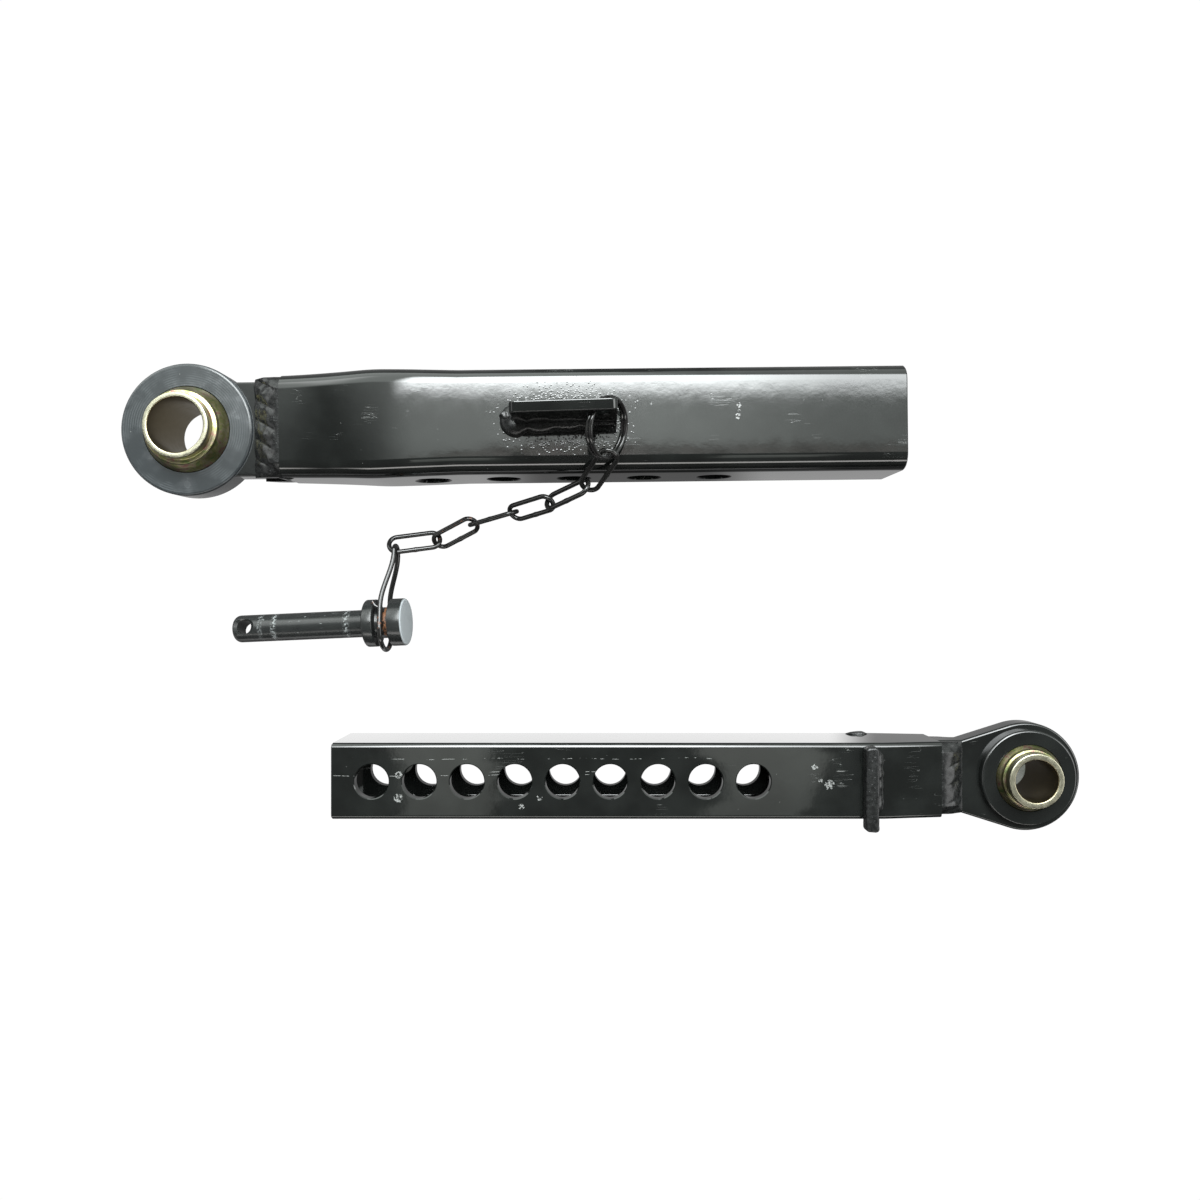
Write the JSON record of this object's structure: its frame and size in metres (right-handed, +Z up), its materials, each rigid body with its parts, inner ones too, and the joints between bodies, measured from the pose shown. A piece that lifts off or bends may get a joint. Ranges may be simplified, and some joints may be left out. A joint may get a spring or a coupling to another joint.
{
  "type": "telescopic stabiliser link",
  "caption": "Telescopic stabiliser link for a tractor's linkage, laid out in two halves: square tube and drilled bar, swivel ball ends, and a locking pin on a chain",
  "frame": {"origin": "on the ground, in the middle of the rectangle that the laid-out parts cover", "axes": "+X along the tube and the bar, from the tube's eye towards the bar's eye; +Y across, from the bar towards the tube; +Z up"},
  "size_m": [0.511, 0.249, 0.089],
  "materials": {
    "gloss_black_paint": "gloss black paint with orange peel, over welded steel",
    "yellow_zinc": "machined steel, thin yellow zinc plate",
    "black_chain": "dip-painted black steel wire, rust at the wear points",
    "gunmetal_pin": "turned steel, dark finish, worn bands"
  },
  "bodies": {
    "outer_tube": {"outer_tube": "gloss_black_paint", "tube_eye": "gloss_black_paint", "tube_eye_weld_top": "gloss_black_paint", "tube_eye_weld_bottom": "gloss_black_paint", "chain_lug": "gloss_black_paint", "chain_lug_weld": "gloss_black_paint"},
    "tube_bush": {"tube_ball_bush": "yellow_zinc"},
    "ring": {"split_ring": "black_chain"},
    "link_1": {"chain_link_1": "black_chain"},
    "link_2": {"chain_link_2": "black_chain"},
    "link_3": {"chain_link_3": "black_chain"},
    "link_4": {"chain_link_4": "black_chain"},
    "link_5": {"chain_link_5": "black_chain"},
    "link_6": {"chain_link_6": "black_chain"},
    "wire_loop": {"pin_wire_loop": "black_chain"},
    "pin": {"locking_pin": "gunmetal_pin"},
    "inner_bar": {"inner_bar": "gloss_black_paint", "bar_eye": "gloss_black_paint", "bar_eye_weld_top": "gloss_black_paint", "bar_eye_weld_bottom": "gloss_black_paint", "stop_strip": "gloss_black_paint", "stop_weld": "gloss_black_paint", "stop_side_weld": "gloss_black_paint"},
    "bar_bush": {"bar_ball_bush": "yellow_zinc"}
  },
  "joints": [
    {"name": "bar_slide", "type": "slide", "parent": "outer_tube", "child": "inner_bar", "axis": [1, 0, 0], "range_m": [0, 0.163]},
    {"name": "tube_bush_tilt", "type": "hinge", "parent": "outer_tube", "child": "tube_bush", "pos_m": [-0.2205, 0.0895, 0.027], "axis": [0, 1, 0], "range_deg": [-15, 15]},
    {"name": "bar_bush_tilt", "type": "hinge", "parent": "inner_bar", "child": "bar_bush", "pos_m": [0.2265, -0.0955, 0.02], "axis": [0, 1, 0], "range_deg": [-9, 9]},
    {"name": "ring_turn", "type": "hinge", "parent": "outer_tube", "child": "ring", "pos_m": [0.0015, 0.0843, 0.0696], "axis": [-0.8138, 0.2029, -0.5446], "range_deg": [0, 20]},
    {"name": "link_1_swing", "type": "hinge", "parent": "ring", "child": "link_1", "pos_m": [0.00213, 0.07078, 0.06361], "axis": [-0.5796, -0.3525, 0.7347], "range_deg": [-5, 15]},
    {"name": "link_2_swing", "type": "hinge", "parent": "link_1", "child": "link_2", "pos_m": [-0.01077, 0.05778, 0.04866], "axis": [0.5891, -0.6258, -0.5112], "range_deg": [-40, 15]},
    {"name": "link_3_swing", "type": "hinge", "parent": "link_2", "child": "link_3", "pos_m": [-0.03017, 0.05066, 0.03516], "axis": [-0.1402, -0.8466, 0.5134], "range_deg": [-30, 30]},
    {"name": "link_4_swing", "type": "hinge", "parent": "link_3", "child": "link_4", "pos_m": [-0.05073, 0.04641, 0.0222], "axis": [-0.382, 0.7355, 0.5596], "range_deg": [-30, 30]},
    {"name": "link_5_swing", "type": "hinge", "parent": "link_4", "child": "link_5", "pos_m": [-0.07337, 0.04077, 0.01411], "axis": [0.3009, 0.1827, -0.936], "range_deg": [-25, 25]},
    {"name": "link_6_swing", "type": "hinge", "parent": "link_5", "child": "link_6", "pos_m": [-0.09504, 0.03284, 0.00693], "axis": [-0.0199, 0.777, 0.6292], "range_deg": [-40, 40]},
    {"name": "wire_loop_swing", "type": "hinge", "parent": "link_6", "child": "wire_loop", "pos_m": [-0.11523, 0.0259, 0.0117], "axis": [-0.991, 0.1333, 0.0139], "range_deg": [-45, 60]},
    {"name": "pin_turn", "type": "hinge", "parent": "wire_loop", "child": "pin", "pos_m": [-0.12046, -0.01314, 0.01394], "axis": [-0.9964, -0.0452, -0.0715], "continuous": true}
  ]
}
